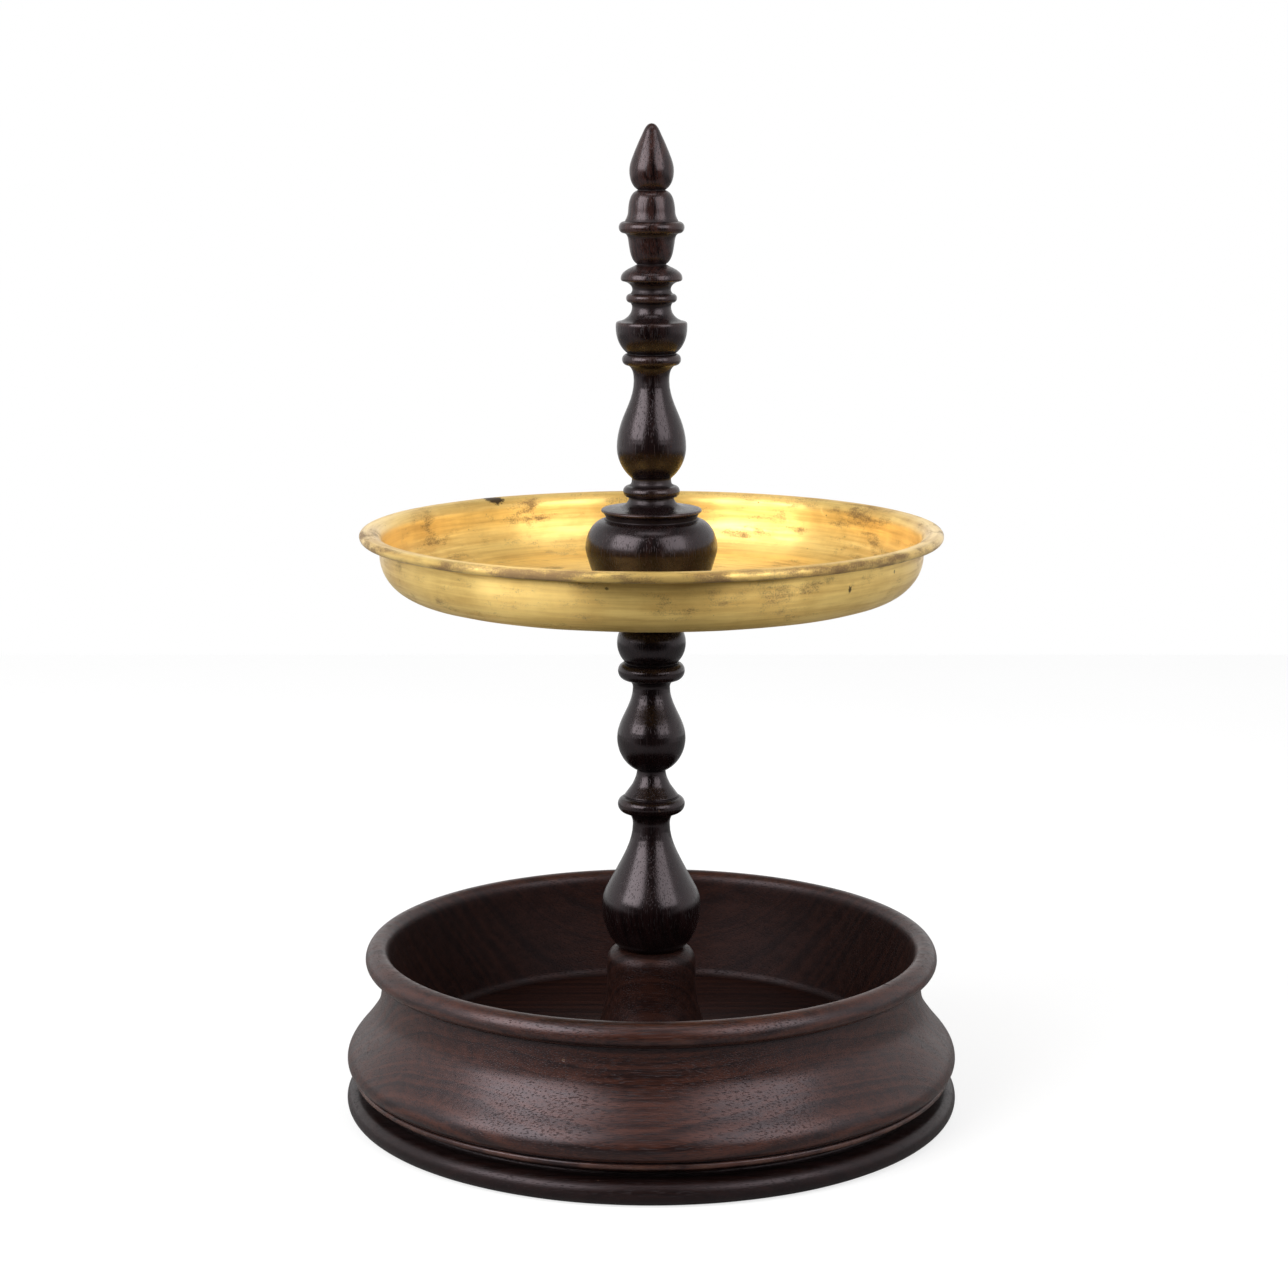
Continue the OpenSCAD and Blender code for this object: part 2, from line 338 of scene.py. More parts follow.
def turned_tree():
    """Carries an outline round Z, cuts its thread and flats, and closes seam and poles."""
    bench, given, result = new_group("GeometryNodeTree", "turned piece", TURNED_INPUTS,
                                     (("Piece", "Geometry"),))
    rows = bench.put("GeometryNodeAttributeDomainSize", {0: given["Outline"]}).outputs["Point Count"]
    columns = bench.plus(given["Steps"], 1)
    grid = bench.put("GeometryNodeMeshGrid", {"Vertices X": rows, "Vertices Y": columns})
    index = bench.put("GeometryNodeInputIndex").outputs[0]
    row = bench.math("FLOOR", bench.math("DIVIDE", bench.plus(index, 0.5), columns))
    column = bench.minus(index, bench.times(row, columns))
    share = bench.math("DIVIDE", column, given["Steps"])
    angle = bench.times(share, math.tau)

    def read(value, data_type):
        inputs = {"Geometry": given["Outline"], "Value": value, "Index": row}
        return bench.put("GeometryNodeSampleIndex", inputs, data_type=data_type).outputs["Value"]

    def named(name):
        return bench.put("GeometryNodeInputNamedAttribute", {"Name": name}, data_type="FLOAT").outputs[0]

    place = bench.split(read(bench.put("GeometryNodeInputPosition").outputs[0], "FLOAT_VECTOR"))
    at_row = {name: read(named(name), "FLOAT") for name in ROW_VALUES}

    # the thread: a groove that climbs one pitch in a turn
    phase = bench.minus(bench.math("DIVIDE", place["Z"], given["Pitch"]), share)
    groove = bench.ramp(bench.times(bench.math("PINGPONG", phase, 0.5), 2.0), 0.12, 0.88)
    cut = bench.times(bench.times(groove, at_row["thread"]), given["Thread depth"])
    # the flats: six of them, for a hexagon socket
    sixth = bench.math("MODULO", angle, math.pi / 3)
    to_corner = bench.math("COSINE", bench.minus(sixth, math.pi / 6))
    swell = bench.minus(bench.math("DIVIDE", 1.0, to_corner), 1.0)
    widened = bench.plus(1.0, bench.times(swell, at_row["flats"]))
    radius = bench.times(bench.minus(place["X"], cut), widened)

    spot = bench.join(bench.times(radius, bench.math("COSINE", angle)),
                      bench.times(radius, bench.math("SINE", angle)), place["Z"])
    shape = grid.outputs["Mesh"]

    def worked(kind, inputs=None, **settings):
        return bench.put(kind, {"Geometry": shape, **(inputs or {})}, **settings).outputs[0]

    shape = worked("GeometryNodeSetPosition", {"Position": spot})
    for name, value in (("turn", share), ("run", at_row["run"]), ("crest", at_row["crest"])):
        shape = worked("GeometryNodeStoreNamedAttribute", {"Name": name, "Value": value}, data_type="FLOAT")
    across = {"Name": "UVMap", "Value": bench.join(named("turn"), named("run"), 0.0)}
    shape = worked("GeometryNodeStoreNamedAttribute", across, data_type="FLOAT2", domain="CORNER")
    shape = worked("GeometryNodeRemoveAttribute", {"Name": "turn"})
    shape = worked("GeometryNodeMergeByDistance", {"Distance": SEAM_GAP})

    # no hand-turned or hand-spun piece is quite round
    here = bench.put("GeometryNodeInputPosition").outputs[0]
    lump = bench.wander(here, bench.math("DIVIDE", 1.0, given["Unevenness size"]), 1.0)
    shift = bench.put("ShaderNodeVectorMath", {0: lump, "Scale": given["Unevenness"]}, operation="SCALE")
    shape = worked("GeometryNodeSetPosition", {"Offset": shift.outputs[0]})
    shape = worked("GeometryNodeSetShadeSmooth")
    shape = worked("GeometryNodeRealizeInstances")
    shape = worked("GeometryNodeSetMaterial", {"Material": given["Material"]})
    bench.feed(result[0], shape)
    return bench.tree


TURNED = turned_tree()


def outline_object(name, points, thread, flats):
    """The outline as a row of points joined by edges, with the values the lathe reads."""
    run, crest = crests(points)
    mesh = bpy.data.meshes.new(name + "_outline")
    mesh.from_pydata([(r, 0.0, z) for r, z in points], [(i, i + 1) for i in range(len(points) - 1)], [])
    for label, values in zip(ROW_VALUES, (run, crest, thread, flats)):
        layer = mesh.attributes.new(label, "FLOAT", "POINT")
        layer.data.foreach_set("value", np.asarray(values, np.float32))
    return bpy.data.objects.new(name, mesh)


def turned_piece(name, node, points, material, steps=192, unevenness=0.0, size=0.04,
                 pitch=1.25 * MM, depth=0.0, thread=None, flats=None):
    """Turns one piece, in the place of a node of the frame, and lets it ride on the node's body."""
    none = np.zeros(len(points))
    piece = outline_object(name, points, none if thread is None else thread,
                           none if flats is None else flats)
    scene.collection.objects.link(piece)
    lathe = piece.modifiers.new("lathe", "NODES")
    lathe.node_group = TURNED
    values = {"Steps": steps, "Pitch": pitch, "Thread depth": depth, "Unevenness": unevenness,
              "Unevenness size": size, "Material": material}
    for item in TURNED.interface.items_tree:
        if item.in_out == "INPUT" and item.name in values:
            lathe[item.identifier] = values[item.name]
    graph = bpy.context.evaluated_depsgraph_get()
    mesh = bpy.data.meshes.new_from_object(piece.evaluated_get(graph), preserve_all_data_layers=True,
                                           depsgraph=graph)
    mesh.name = name
    piece.modifiers.clear()
    outline = piece.data
    piece.data = mesh
    bpy.data.meshes.remove(outline)
    if enclosed(mesh) < 0:
        mesh.flip_normals()
    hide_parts(node)
    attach(piece, BODY_OF[node])


def enclosed(mesh):
    """Volume inside a closed mesh, negative if its faces point inwards."""
    mesh.calc_loop_triangles()
    co = np.empty(len(mesh.vertices) * 3)
    mesh.vertices.foreach_get("co", co)
    corner = np.empty(len(mesh.loop_triangles) * 3, int)
    mesh.loop_triangles.foreach_get("vertices", corner)
    a, b, c = co.reshape(-1, 3)[corner.reshape(-1, 3).T]
    return np.einsum("ij,ij->", a, np.cross(b, c)) / 6


# ------------------------------------------------------------ finishes

def hardwood_group():
    """An open-pored dark hardwood with its fibres along Z: growth rings, streaks and pores."""
    bench, given, result = new_group(
        "ShaderNodeTree", "turned hardwood",
        (("Vector", "Vector"), ("Dark", "Color"), ("Light", "Color"), ("Ring width", "Float", 0.004),
         ("Pore depth", "Float", 1.0), ("Roughness", "Float", 0.4)),
        (("Color", "Color"), ("Roughness", "Float"), ("Height", "Float")))
    vector = given["Vector"]
    # the fibres sway a little, and the rings and streaks with them
    sway = bench.wander(bench.vector("MULTIPLY", vector, (14, 14, 4)))
    sway = bench.vector("MULTIPLY", sway, (0.02, 0.02, 0.0))
    swayed = bench.vector("ADD", vector, sway)
    x, y, z = bench.split(swayed)
    phase = bench.math("DIVIDE", bench.radius(x, y), given["Ring width"])
    ring = bench.put("ShaderNodeTexNoise", {"W": phase, "Scale": 1.0, "Detail": 3.0, "Roughness": 0.6},
                     noise_dimensions="1D").outputs[0]
    streak = bench.stretched(swayed, (240, 240, 9), 4.0, 0.6)
    fibre = bench.stretched(vector, (2300, 2300, 90))
    # the pores are short and thin, and stand closer together in some places
    pore = bench.stretched(vector, (2100, 2100, 150), 0.0)
    crowd = bench.stretched(vector, (70, 70, 16))
    pore = bench.ramp(bench.plus(pore, bench.times(bench.minus(crowd, 0.5), 0.22)), 0.61, 0.72)
    tone = bench.plus(bench.times(ring, 0.55), bench.times(streak, 0.45))
    tone = bench.plus(tone, bench.times(bench.minus(fibre, 0.5), 0.5))
    color = bench.mix(bench.ramp(tone, 0.33, 0.68), given["Dark"], given["Light"])
    color = bench.mix(pore, color, bench.mix(0.6, color, (0.003, 0.002, 0.002, 1)))
    bench.feed(result["Color"], color)
    rough = bench.plus(given["Roughness"], bench.times(bench.minus(streak, 0.5), 0.22))
    rough = bench.plus(rough, bench.times(pore, 0.25), clamp=True)
    bench.feed(result["Roughness"], rough)
    dip = bench.times(pore, given["Pore depth"])
    bench.feed(result["Height"], bench.minus(bench.times(fibre, 0.22), dip))
    return bench.tree


def rubbing_and_shade_group():
    """Where hands and cloths have rubbed the arrises, and painted shade that darkens the quirks."""
    bench, given, result = new_group(
        "ShaderNodeTree", "rubbed arrises and painted quirk shade",
        (("Vector", "Vector"), ("Color", "Color"), ("Rubbed color", "Color"), ("Grime color", "Color"),
         ("Amount", "Float", 0.5)),
        (("Color", "Color"), ("Rubbed", "Float"), ("Grime", "Float")))
    crest = bench.put("ShaderNodeAttribute", attribute_name="crest").outputs["Fac"]
    patch = bench.noise(given["Vector"], 55.0, 4.0, 0.65)[0]
    rubbed = bench.times(bench.ramp(crest, 0.12, 0.75), bench.ramp(patch, 0.38, 0.66))
    rubbed = bench.times(rubbed, given["Amount"])
    # painted shade: where the outline bends inwards, in the quirks, the colour is darkened towards the
    # shade colour
    quirk_shade = bench.times(bench.ramp(bench.times(crest, -1.0), 0.10, 0.6),
                        bench.ramp(patch, 0.25, 0.6, 0.55, 1.0))
    color = bench.mix(rubbed, given["Color"], given["Rubbed color"])
    bench.feed(result["Color"], bench.mix(bench.times(quirk_shade, 0.8), color, given["Grime color"]))
    bench.feed(result["Rubbed"], rubbed)
    bench.feed(result["Grime"], quirk_shade)
    return bench.tree


def nicks_group():
    """Scarce small chips and dents: a mask, and their depth."""
    bench, given, result = new_group(
        "ShaderNodeTree", "nicks",
        (("Vector", "Vector"), ("Spacing", "Float", 0.02), ("Radius", "Float", 0.0006),
         ("Share", "Float", 0.3)),
        (("Mask", "Float"), ("Height", "Float")))
    jagged = bench.vector("MULTIPLY", bench.wander(given["Vector"], 900.0), (0.0008,) * 3)
    spread = bench.math("DIVIDE", 1.0, given["Spacing"])
    cell = bench.put("ShaderNodeTexVoronoi",
                     {"Vector": bench.vector("ADD", given["Vector"], jagged), "Scale": spread})
    reach = bench.times(cell.outputs["Distance"], given["Spacing"])
    kind = bench.put("ShaderNodeSeparateColor", {0: cell.outputs["Color"]}).outputs
    size = bench.times(given["Radius"], bench.plus(0.4, kind[1]))
    mask = bench.ramp(bench.math("DIVIDE", reach, size), 1.0, 0.55)
    mask = bench.times(mask, bench.math("LESS_THAN", kind[0], given["Share"]))
    bench.feed(result["Mask"], mask)
    bench.feed(result["Height"], bench.times(mask, -1.0))
    return bench.tree


def brass_group():
    """Sheet brass spun on a chuck: fine lines round the turn, tarnished patches, painted shade lines in its
    creases and bends, pits and hair scratches.
    """
    bench, given, result = new_group(
        "ShaderNodeTree", "spun brass",
        (("Vector", "Vector"), ("Bright", "Color"), ("Deep", "Color"), ("Tarnish", "Color"),
         ("Tarnish amount", "Float", 0.5), ("Roughness", "Float", 0.2)),
        (("Color", "Color"), ("Roughness", "Float"), ("Metallic", "Float"), ("Height", "Float")))
    x, y, z = bench.split(given["Vector"])
    run = bench.put("ShaderNodeAttribute", attribute_name="run").outputs["Fac"]
    crest = bench.put("ShaderNodeAttribute", attribute_name="crest").outputs["Fac"]
    radius = bench.plus(1e-4, bench.radius(x, y))
    round_x, round_y = bench.math("DIVIDE", x, radius), bench.math("DIVIDE", y, radius)

    def ringed(around, per_metre, detail):
        spot = bench.join(bench.times(round_x, around), bench.times(round_y, around),
                          bench.times(run, per_metre))
        return bench.noise(spot, 1.0, detail, 0.6)[0]

    lines = ringed(1.5, 2600.0, 2.0)
    bands = ringed(2.2, 330.0, 3.0)
    streaks = ringed(7.0, 150.0, 4.0)
    cloud = bench.noise(given["Vector"], 22.0, 5.0, 0.62)[0]
    speckle = bench.noise(given["Vector"], 1500.0, 3.0, 0.7)[0]
    crease = bench.ramp(bench.times(crest, -1.0), 0.05, 0.5)
    bend = bench.ramp(bench.math("ABSOLUTE", crest), 0.1, 0.7)

    # tarnish gathers in clouds drawn out round the turn, and at the bends
    stain = bench.plus(bench.times(cloud, 0.45), bench.times(streaks, 0.55))
    stain = bench.plus(stain, bench.times(bench.minus(speckle, 0.5), 0.30))
    stain = bench.plus(stain, bench.times(bench.plus(bend, crease), 0.085))
    edge = bench.minus(0.72, bench.times(given["Tarnish amount"], 0.30))
    stained = bench.ramp(bench.minus(stain, edge), -0.02, 0.14)
    film = bench.ramp(bench.plus(bench.times(cloud, 0.5), bench.times(bands, 0.5)), 0.37, 0.63)
    # painted shade: dark lines in the creases and along the bends, drawn in the tarnish colour
    shade_lines = bench.math("MAXIMUM", crease, bench.times(bend, 0.6))
    shade_lines = bench.times(shade_lines, bench.ramp(streaks, 0.35, 0.62, 0.35, 1.0))
    color = bench.mix(film, given["Bright"], given["Deep"])
    color = bench.mix(bench.times(stained, 0.75), color, given["Tarnish"])
    color = bench.mix(bench.times(shade_lines, 0.75), color, given["Tarnish"])
    bench.feed(result["Color"], color)

    rough = bench.plus(given["Roughness"], bench.times(stained, 0.28))
    rough = bench.plus(rough, bench.times(bench.minus(bands, 0.5), 0.12))
    bench.feed(result["Roughness"], bench.plus(rough, bench.times(film, 0.06), clamp=True))
    bench.feed(result["Metallic"], bench.minus(0.66, bench.times(stained, 0.24)))

    # a few hair scratches across the spun lines
    vein = bench.stretched(given["Vector"], (9, 23, 17), 1.0)
    hair = bench.ramp(bench.math("ABSOLUTE", bench.minus(vein, 0.5)), 0.0016, 0.0)
    seldom = bench.ramp(bench.noise(given["Vector"], 31.0, 1.0)[0], 0.52, 0.60)
    height = bench.plus(bench.times(lines, 0.35), bench.times(bands, 0.6))
    height = bench.minus(height, bench.times(bench.times(hair, seldom), 0.5))
    bench.feed(result["Height"], height)
    return bench.tree


HARDWOOD = hardwood_group()
RUBBING_AND_SHADE = rubbing_and_shade_group()
NICKS = nicks_group()
BRASS = brass_group()


def new_finish(name):
    """A material with an empty bench, its shader, and its object coordinates."""
    material = bpy.data.materials.new(name)
    material.use_nodes = True
    material.node_tree.nodes.clear()
    bench = Bench(material.node_tree)
    shader = bench.put("ShaderNodeBsdfPrincipled")
    end = bench.put("ShaderNodeOutputMaterial")
    bench.feed(end.inputs["Surface"], shader.outputs[0])
    return material, bench, shader, bench.put("ShaderNodeTexCoord").outputs["Object"]


def placed(bench, tree, inputs):
    """One of the groups above, put on a bench."""
    node = bench.put("ShaderNodeGroup", node_tree=tree)
    for key, value in inputs.items():
        bench.feed(node.inputs[key], value)
    return node.outputs


def relief(bench, shader, height, distance):
    """Bumps on the shader: a height of 1 stands for the distance in metres."""
    bump = bench.put("ShaderNodeBump", {"Height": height, "Distance": distance, "Strength": 1.0})
    bench.feed(shader.inputs["Normal"], bump.outputs[0])


# near-black colour of the painted shade in the wood's quirks
QUIRK_SHADE = (0.006, 0.004, 0.004, 1)
WAX_IOR = 1.43
WAX_TINT = (1.0, 0.84, 0.90, 1)
LIT_TIP_FROM, LIT_TIP_TO = 0.375, 0.425


def waxed_wood(name, lean, shift, dark, light, rubbed, ring_width, roughness, nick_color,
               coat=0.0, pore_depth=1.0, gloss=0.5, lit_tip=None, shaded_hollow=None):
    """Turned hardwood under wax. lean turns the fibres from Z, shift moves the pith off the axis.

    tip is a lighter, redder colour painted towards the finial, as painted light from above.
    hollow is the radius within which, and the height above which, the wood is inside the bowl:
    there its colour is darkened as painted shade, and it gets less gloss and more roughness.
    """
    material, bench, shader, place = new_finish(name)
    x, y, z = bench.split(place)
    # painted light: the wood is made lighter and redder towards the finial, where light from above falls
    if lit_tip:
        light = bench.mix(bench.ramp(z, LIT_TIP_FROM, LIT_TIP_TO), light, lit_tip)
    turned = bench.put("ShaderNodeMapping", {"Vector": place, "Location": shift, "Rotation": lean})
    wood = placed(bench, HARDWOOD, {
        "Vector": turned.outputs[0], "Dark": dark, "Light": light, "Ring width": ring_width,
        "Roughness": roughness, "Pore depth": pore_depth})
    # rubbed arrises, and painted shade darkening the quirks
    worn_and_shaded = placed(bench, RUBBING_AND_SHADE, {"Vector": place, "Color": wood["Color"], "Rubbed color": rubbed,
                                    "Grime color": QUIRK_SHADE, "Amount": 0.7})
    nick = placed(bench, NICKS, {"Vector": place, "Spacing": 0.014, "Radius": 0.0007, "Share": 0.35})
    color = bench.mix(bench.times(nick["Mask"], 0.7), worn_and_shaded["Color"], nick_color)
    rough = bench.minus(wood["Roughness"], bench.times(worn_and_shaded["Rubbed"], 0.10))
    # painted shade: inside the bowl the colour is darkened towards the dark wood; gloss is lowered and
    # roughness raised there too
    if shaded_hollow:
        within, above = shaded_hollow
        inside = bench.times(bench.ramp(bench.radius(x, y), within, within - 0.0015),
                             bench.ramp(z, above, above + 0.002))
        color = bench.mix(bench.times(inside, 0.6), color, dark)
        rough = bench.plus(rough, bench.times(inside, 0.06))
        gloss = bench.times(gloss, bench.minus(1.0, bench.times(inside, 0.6)))
    rough = bench.plus(rough, bench.times(worn_and_shaded["Grime"], 0.2), clamp=True)
    values = {"Base Color": color, "Roughness": rough, "Specular IOR Level": gloss, "IOR": WAX_IOR,
              "Specular Tint": WAX_TINT, "Coat Weight": coat, "Coat Roughness": 0.22}
    for label, value in values.items():
        bench.feed(shader.inputs[label], value)
    height = bench.plus(wood["Height"], bench.times(nick["Height"], 1.6))
    relief(bench, shader, height, 0.00007)
    return material


STAIN = (0.035, 0.018, 0.008, 1)
PIT = (0.06, 0.03, 0.012, 1)


def marked(bench, place, color, marks):
    """Stains of one kind on a colour: each has a middle, a half width along X, Y and Z, and a strength."""
    ragged = bench.noise(place, 700.0, 3.0, 0.7)[0]
    for middle, half, strength in marks:
        away = bench.vector("DIVIDE", bench.vector("SUBTRACT", place, middle), half)
        reach = bench.put("ShaderNodeVectorMath", {0: away}, operation="LENGTH").outputs["Value"]
        reach = bench.plus(reach, bench.times(bench.minus(ragged, 0.5), 1.4))
        stain = bench.ramp(reach, 1.1, 0.7, 0.0, strength)
        color = bench.mix(stain, color, STAIN)
    return color


def brass_finish(name, bright, deep, tarnish_and_shade, amount, roughness, line_depth, marks=()):
    """Spun or turned brass with pits, specks and single stains. Its lines run round the turn."""
    material, bench, shader, place = new_finish(name)
    brass = placed(bench, BRASS, {"Vector": place, "Bright": bright, "Deep": deep, "Tarnish": tarnish_and_shade,
                                  "Tarnish amount": amount, "Roughness": roughness})
    pit = placed(bench, NICKS, {"Vector": place, "Spacing": 0.011, "Radius": 0.0005, "Share": 0.4})
    speck = placed(bench, NICKS, {"Vector": place, "Spacing": 0.005, "Radius": 0.00026, "Share": 0.45})
    dark_spots = bench.math("MAXIMUM", pit["Mask"], speck["Mask"])
    color = bench.mix(bench.times(dark_spots, 0.85), brass["Color"], PIT)
    rough = bench.plus(brass["Roughness"], bench.times(pit["Mask"], 0.4), clamp=True)
    values = {"Base Color": marked(bench, place, color, marks), "Roughness": rough,
              "Metallic": brass["Metallic"], "Anisotropic": 0.95, "Anisotropic Rotation": 0.25}
    for label, value in values.items():
        bench.feed(shader.inputs[label], value)
    relief(bench, shader, bench.plus(brass["Height"], pit["Height"]), line_depth)
    return material


def steel_finish(name, color):
    """Plated steel: faint cloudiness, fine tool lines, rubbed arrises and painted shade darkening the
    grooves.
    """
    material, bench, shader, place = new_finish(name)
    cloud = bench.noise(place, 260.0, 4.0, 0.6)[0]
    # rubbed arrises, and painted shade darkening the grooves in a dark steel colour
    worn_and_shaded = placed(bench, RUBBING_AND_SHADE, {"Vector": place, "Color": color, "Rubbed color": (0.75, 0.74, 0.72, 1),
                                    "Grime color": (0.06, 0.055, 0.05, 1), "Amount": 0.8})
    dull = bench.mix(bench.ramp(cloud, 0.45, 0.7), worn_and_shaded["Color"], (0.30, 0.29, 0.28, 1))
    bench.feed(shader.inputs["Base Color"], dull)
    bench.feed(shader.inputs["Roughness"], bench.ramp(cloud, 0.3, 0.75, 0.24, 0.46))
    shader.inputs["Metallic"].default_value = 1.0
    relief(bench, shader, bench.stretched(place, (300, 300, 6000)), 0.00001)
    return material


def felt_finish(name, dark, light):
    """Pressed wool felt: matted fibres, flecks of colour and a soft nap."""
    material, bench, shader, place = new_finish(name)
    fleck = bench.noise(place, 900.0, 4.0, 0.7)[0]
    mat = bench.noise(place, 160.0, 3.0, 0.6)[0]
    tone = bench.plus(bench.times(fleck, 0.6), bench.times(mat, 0.4))
    bench.feed(shader.inputs["Base Color"], bench.mix(bench.ramp(tone, 0.35, 0.68), dark, light))
    bench.feed(shader.inputs["Roughness"], bench.ramp(fleck, 0.3, 0.7, 0.85, 1.0))
    shader.inputs["Sheen Weight"].default_value = 0.35
    shader.inputs["Sheen Roughness"].default_value = 0.5
    curl = bench.noise(place, 2600.0, 3.0, 0.75)[0]
    relief(bench, shader, bench.plus(curl, fleck), 0.0004)
    return material


# inside the bowl its wood is painted darker, as painted shade
BOWL_WOOD = waxed_wood(
    "rubbed_bowl_wood", lean=(0.0, math.pi / 2, 0.0), shift=(0.03, 0.11, 0.0),
    dark=(0.0060, 0.0024, 0.0021, 1), light=(0.046, 0.0148, 0.0088, 1), rubbed=(0.085, 0.040, 0.027, 1),
    ring_width=0.0042, roughness=0.33, nick_color=(0.10, 0.06, 0.035, 1),
    pore_depth=0.6, shaded_hollow=(0.131, 0.020))
# the foot ring's wood is a copy of the bowl's with its colours painted several times darker, as painted
# shade near the table, and with less gloss
SHADED_FOOT_WOOD = waxed_wood(
    "rubbed_foot_wood_painted_darker", lean=(0.0, math.pi / 2, 0.15), shift=(-0.05, 0.07, 0.02),
    dark=(0.0028, 0.0012, 0.0011, 1), light=(0.0090, 0.0033, 0.0028, 1), rubbed=(0.036, 0.017, 0.013, 1),
    ring_width=0.0040, roughness=0.35, nick_color=(0.09, 0.05, 0.03, 1),
    pore_depth=0.6, gloss=0.34)
# the pillar's wood is painted lighter and redder towards the finial, as painted light from above
PILLAR_WOOD = waxed_wood(
    "polished_pillar_wood", lean=(0.03, 0.02, 0.0), shift=(0.018, 0.009, 0.0),
    dark=(0.0020, 0.0009, 0.0010, 1), light=(0.0070, 0.0028, 0.0027, 1), rubbed=(0.045, 0.024, 0.019, 1),
    ring_width=0.0026, roughness=0.23, nick_color=(0.05, 0.030, 0.020, 1), coat=0.04,
    pore_depth=0.3, gloss=0.46, lit_tip=(0.030, 0.0120, 0.0095, 1))
DISH_BRASS = brass_finish(
    "spun_dish_brass", bright=(0.98, 0.70, 0.23, 1), deep=(0.68, 0.43, 0.12, 1),
    tarnish_and_shade=(0.16, 0.09, 0.045, 1), amount=0.60, roughness=0.33, line_depth=0.00006,
    marks=(((-0.0815, 0.1065, 0.2875), (0.0062, 0.0048, 0.004), 0.95),
           ((0.089, -0.095, 0.2735), (0.0012, 0.0012, 0.0022), 0.9),
           ((0.112, -0.069, 0.277), (0.0010, 0.0010, 0.0010), 0.7),
           ((-0.020, -0.129, 0.279), (0.0010, 0.0010, 0.0008), 0.7)))
INSERT_BRASS = brass_finish(
    "turned_insert_brass", bright=(0.80, 0.60, 0.28, 1), deep=(0.60, 0.42, 0.17, 1),
    tarnish_and_shade=(0.17, 0.10, 0.04, 1), amount=0.3, roughness=0.28, line_depth=0.00001)
SCREW_STEEL = steel_finish("plated_screw_steel", (0.56, 0.55, 0.53, 1))
WIRE_STEEL = steel_finish("drawn_wire_steel", (0.42, 0.41, 0.40, 1))
PAD_FELT = felt_finish("green_pad_felt", (0.012, 0.026, 0.016, 1), (0.040, 0.075, 0.045, 1))
RING_FELT = felt_finish("brown_ring_felt", (0.022, 0.014, 0.010, 1), (0.075, 0.050, 0.036, 1))


# ------------------------------------------------------------ wood, brass and felt

FRAME_PIECES = (
    # piece, node, finish, arris, spacing, steps, unevenness, its size
    ("turned_bowl", "base_bowl", BOWL_WOOD, 0.45, 2.2, 320, 0.30, 60),
    ("turned_foot_ring", "foot_ring", SHADED_FOOT_WOOD, 0.5, 2.0, 320, 0.30, 60),
    ("green_pad", "base_felt", PAD_FELT, 0.5, 2.4, 256, 0.30, 9),
    ("lower_baluster", "lower_pillar", PILLAR_WOOD, 0.35, 1.0, 176, 0.22, 26),
    ("felt_under_dish", "lower_felt", RING_FELT, 0.35, 0.8, 176, 0.16, 3.5),
    ("spun_dish", "brass_dish", DISH_BRASS, 0.15, 2.5, 320, 0.34, 30),
    ("edge_wire", "rim_wire", WIRE_STEEL, 0.1, 1.0, 320, 0.34, 30),
    ("felt_over_dish", "upper_felt", RING_FELT, 0.35, 0.8, 176, 0.16, 3.5),
    ("upper_baluster", "upper_pillar", PILLAR_WOOD, 0.35, 1.0, 176, 0.22, 26),
)

for name, node, finish, arris, spacing, steps, unevenness, size in FRAME_PIECES:
    outline = eased(frame_outline(node), arris * MM, spacing * MM)
    turned_piece(name, node, outline, finish, steps, unevenness * MM, size * MM)


# ------------------------------------------------------------ screws and inserts

PITCH = 1.25 * MM
ROWS_PER_PITCH = 8
THREAD_DEPTH = 0.68 * MM
INSERT_THREAD_DEPTH = 0.55 * MM
KNURL_ROWS = 14
KNURL_DEPTH = 0.12 * MM
INSERT_RIBS = 9


def threaded(radius, low, high, lead=0.9 * MM):
    """Rows (radius, height, thread) up a threaded length, fading in and out over the lead."""
    count = math.ceil((high - low) / PITCH * ROWS_PER_PITCH)
    rows = []
    for i in range(count + 1):
        z = low + (high - low) * i / count
        rows.append((radius, z, min(1.0, (z - low) / lead, (high - z) / lead)))
    return rows


def screw(name, node, rows, material, depth=THREAD_DEPTH, steps=72):
    """Turns a piece of hardware from rows of radius, height, and then thread and flats if it has any."""
    rows = [tuple(row) + (0.0,) * (4 - len(row)) for row in rows]
    columns = list(zip(*rows))
    turned_piece(name, node, list(zip(columns[0], columns[1])), material, steps, pitch=PITCH,
                 depth=depth, thread=columns[2], flats=columns[3])


def joint_stud():
    """A headless stud, threaded from end to end."""
    low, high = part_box("joint_stud")
    r, point = high.x, 0.9 * MM
    rows = [(0.0, low.z), (r - point, low.z)] + threaded(r, low.z + point, high.z - point)
    screw("threaded_stud", "joint_stud", rows + [(r - point, high.z), (0.0, high.z)], SCREW_STEEL)


